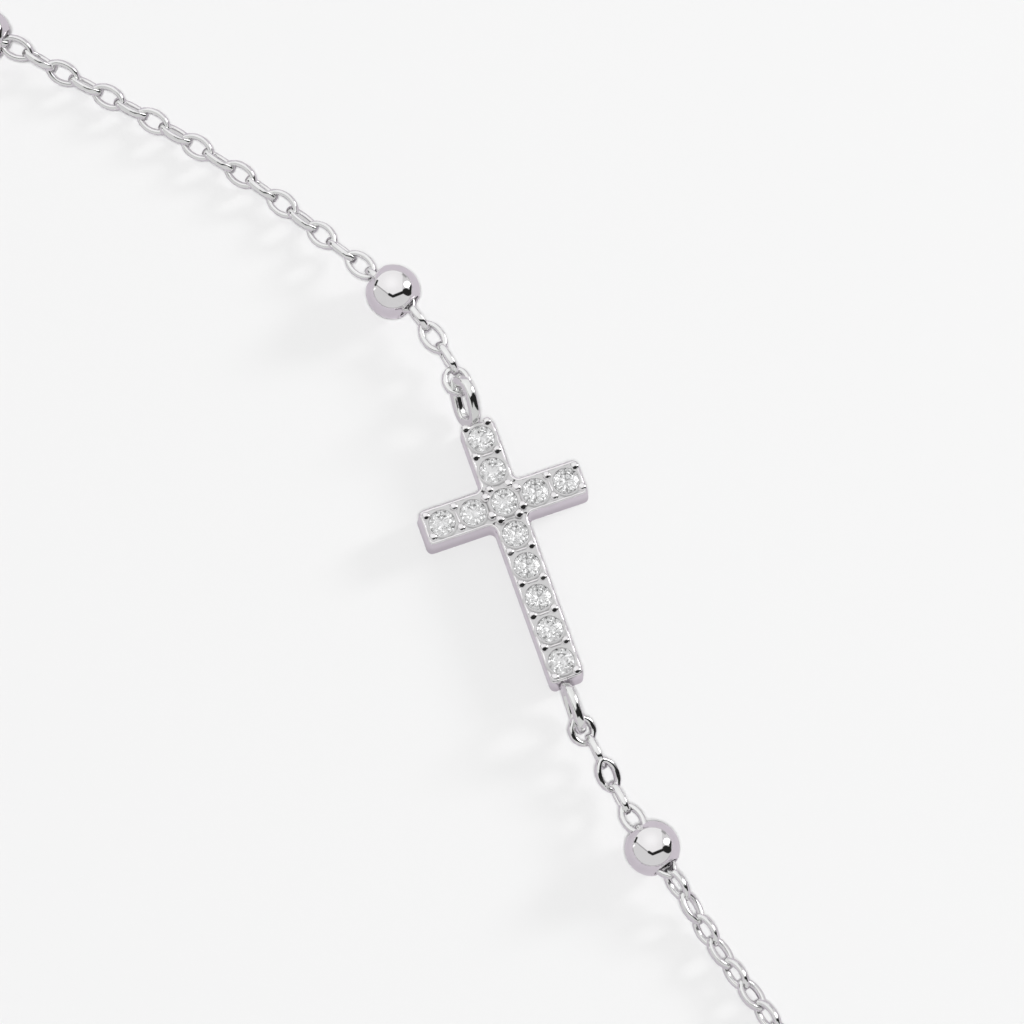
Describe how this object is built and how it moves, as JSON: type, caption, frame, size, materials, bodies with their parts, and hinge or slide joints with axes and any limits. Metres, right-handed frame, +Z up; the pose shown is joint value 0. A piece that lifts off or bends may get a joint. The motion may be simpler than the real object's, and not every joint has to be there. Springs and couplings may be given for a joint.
{
  "type": "beaded bracelet",
  "caption": "Fine oval-link chain bracelet with small ball beads and a long stone-set cross between the chain halves, lying as a closed loop.",
  "frame": {"origin": "under the middle of the loop's outline, on the surface that the bracelet lies on", "axes": "+Z up from the surface; the cross stands to the +X side of the loop, its long arm turned 19.25 degrees from Y; +Y along the loop's longer way"},
  "size_m": [0.0525, 0.064, 0.0032],
  "materials": {
    "silver": "polished sterling silver, rhodium bright",
    "stone": "clear colourless cut stone"
  },
  "bodies": {
    "root": {"cross_setting": "silver", "stone_01": "stone", "stone_02": "stone", "stone_03": "stone", "stone_04": "stone", "stone_05": "stone", "stone_06": "stone", "stone_07": "stone", "stone_08": "stone", "stone_09": "stone", "stone_10": "stone", "stone_11": "stone", "stone_12": "stone", "bead_1": "silver", "bead_2": "silver", "bead_3": "silver", "bead_4": "silver", "bead_5": "silver", "bead_6": "silver", "chain_upper": "silver", "chain_lower": "silver", "clasp": "silver", "end_ring": "silver"}
  },
  "joints": []
}
